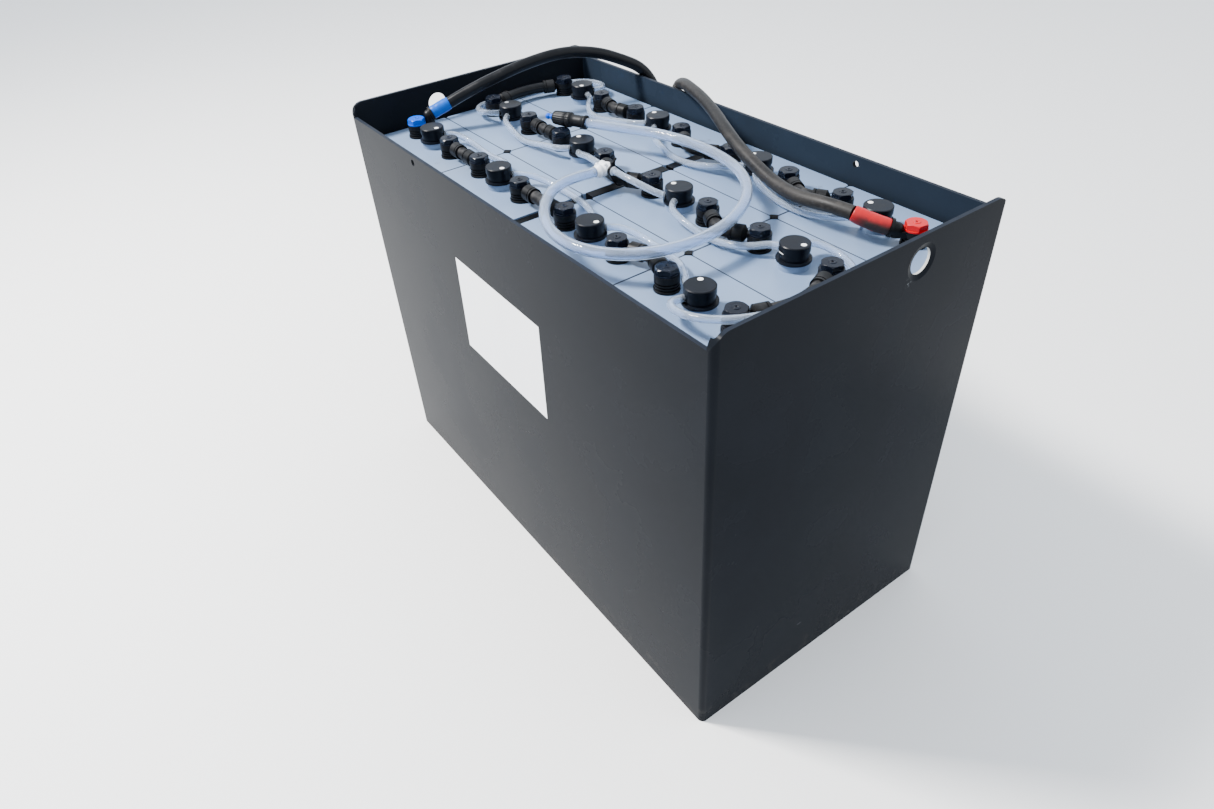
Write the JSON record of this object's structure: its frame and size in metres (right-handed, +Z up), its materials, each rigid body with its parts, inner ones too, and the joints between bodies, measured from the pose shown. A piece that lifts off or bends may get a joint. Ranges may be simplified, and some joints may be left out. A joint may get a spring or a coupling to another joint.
{
  "type": "traction battery",
  "caption": "Lead traction battery for a lift truck: capped cells joined by insulated connectors in an open steel tray, with filling hoses, coupling and two cables ending in a plug",
  "frame": {"origin": "middle of the tray's underside, on the floor", "axes": "+X along the tray towards the end with the plus pole, +Y from the labelled long side to the back, +Z up"},
  "size_m": [0.835, 0.5067, 0.6682],
  "materials": {
    "blue_plastic": "blue plastic moulded over a steel bolt",
    "blue_sleeve": "blue shrunk sleeve",
    "bolt_plastic": "black plastic moulded over a steel bolt, satin",
    "boot_rubber": "black moulded rubber, dusty",
    "cable_rubber": "black rubber cable sheath, weathered grey-brown",
    "contact_copper": "plated copper alloy",
    "hose_clear": "clear soft plastic tube",
    "indicator_white": "white moulded plastic",
    "jar_plastic": "grey moulded plastic",
    "label_white": "bare white film",
    "lead": "cast lead, dull grey",
    "lid_plastic": "light blue-grey moulded plastic, smooth satin",
    "packing_plastic": "black plastic sheet",
    "plug_housing": "grey moulded plastic",
    "plug_plastic": "black moulded plastic, satin",
    "red_plastic": "red plastic moulded over a steel bolt",
    "red_sleeve": "red shrunk sleeve, dusty",
    "separator_sheet": "microporous plastic sheet",
    "tee_white": "white moulded plastic",
    "tray_paint": "glossy anthracite powder coat over steel plate",
    "trim_black": "black plastic"
  },
  "bodies": {
    "battery": {"battery_plug_contacts": "contact_copper", "battery_plug_housing": "plug_housing", "cable_tie": "trim_black", "cell_jars_back": "jar_plastic", "cell_jars_front": "jar_plastic", "cell_jars_middle": "jar_plastic", "cell_lids_back": "lid_plastic", "cell_lids_front": "lid_plastic", "cell_lids_middle": "lid_plastic", "connector_boots": "boot_rubber", "connector_cables": "cable_rubber", "corner_pegs": "trim_black", "coupling_body": "trim_black", "coupling_tip": "blue_plastic", "filler_plug_bodies": "plug_plastic", "filler_plug_caps": "plug_plastic", "hose_end_caps": "trim_black", "hose_tee": "tee_white", "label": "label_white", "left_link_cable": "cable_rubber", "middle_spacers": "trim_black", "minus_bolt": "blue_plastic", "minus_cable": "cable_rubber", "minus_lug": "boot_rubber", "minus_sleeve": "blue_sleeve", "negative_plate_groups": "lead", "plus_bolt": "red_plastic", "plus_cable": "cable_rubber", "plus_lug": "boot_rubber", "plus_sleeve": "red_sleeve", "pole_bolts": "bolt_plastic", "pole_seals": "boot_rubber", "positive_plate_groups": "lead", "separators": "separator_sheet", "side_packing": "packing_plastic", "supply_hose": "hose_clear", "tray_back_wall": "tray_paint", "tray_floor": "tray_paint", "tray_front_wall": "tray_paint", "tray_left_end": "tray_paint", "tray_right_end": "tray_paint", "water_hoses_back": "hose_clear", "water_hoses_ends": "hose_clear", "water_hoses_front": "hose_clear", "water_hoses_middle": "hose_clear"},
    "float_b1": {"level_float_b1": "indicator_white"},
    "float_b2": {"level_float_b2": "indicator_white"},
    "float_b3": {"level_float_b3": "indicator_white"},
    "float_b4": {"level_float_b4": "indicator_white"},
    "float_f1": {"level_float_f1": "indicator_white"},
    "float_f2": {"level_float_f2": "indicator_white"},
    "float_f3": {"level_float_f3": "indicator_white"},
    "float_f4": {"level_float_f4": "indicator_white"},
    "float_m1": {"level_float_m1": "indicator_white"},
    "float_m2": {"level_float_m2": "indicator_white"},
    "float_m3": {"level_float_m3": "indicator_white"},
    "float_m4": {"level_float_m4": "indicator_white"}
  },
  "joints": [
    {"name": "level_b1", "type": "slide", "parent": "battery", "child": "float_b1", "axis": [0, 0, 1], "range_m": [-0.005, 0]},
    {"name": "level_b2", "type": "slide", "parent": "battery", "child": "float_b2", "axis": [0, 0, 1], "range_m": [-0.005, 0]},
    {"name": "level_b3", "type": "slide", "parent": "battery", "child": "float_b3", "axis": [0, 0, 1], "range_m": [-0.005, 0]},
    {"name": "level_b4", "type": "slide", "parent": "battery", "child": "float_b4", "axis": [0, 0, 1], "range_m": [-0.005, 0]},
    {"name": "level_f1", "type": "slide", "parent": "battery", "child": "float_f1", "axis": [0, 0, 1], "range_m": [-0.005, 0]},
    {"name": "level_f2", "type": "slide", "parent": "battery", "child": "float_f2", "axis": [0, 0, 1], "range_m": [-0.005, 0]},
    {"name": "level_f3", "type": "slide", "parent": "battery", "child": "float_f3", "axis": [0, 0, 1], "range_m": [-0.005, 0]},
    {"name": "level_f4", "type": "slide", "parent": "battery", "child": "float_f4", "axis": [0, 0, 1], "range_m": [-0.005, 0]},
    {"name": "level_m1", "type": "slide", "parent": "battery", "child": "float_m1", "axis": [0, 0, 1], "range_m": [-0.005, 0]},
    {"name": "level_m2", "type": "slide", "parent": "battery", "child": "float_m2", "axis": [0, 0, 1], "range_m": [-0.005, 0]},
    {"name": "level_m3", "type": "slide", "parent": "battery", "child": "float_m3", "axis": [0, 0, 1], "range_m": [-0.005, 0]},
    {"name": "level_m4", "type": "slide", "parent": "battery", "child": "float_m4", "axis": [0, 0, 1], "range_m": [-0.005, 0]}
  ]
}
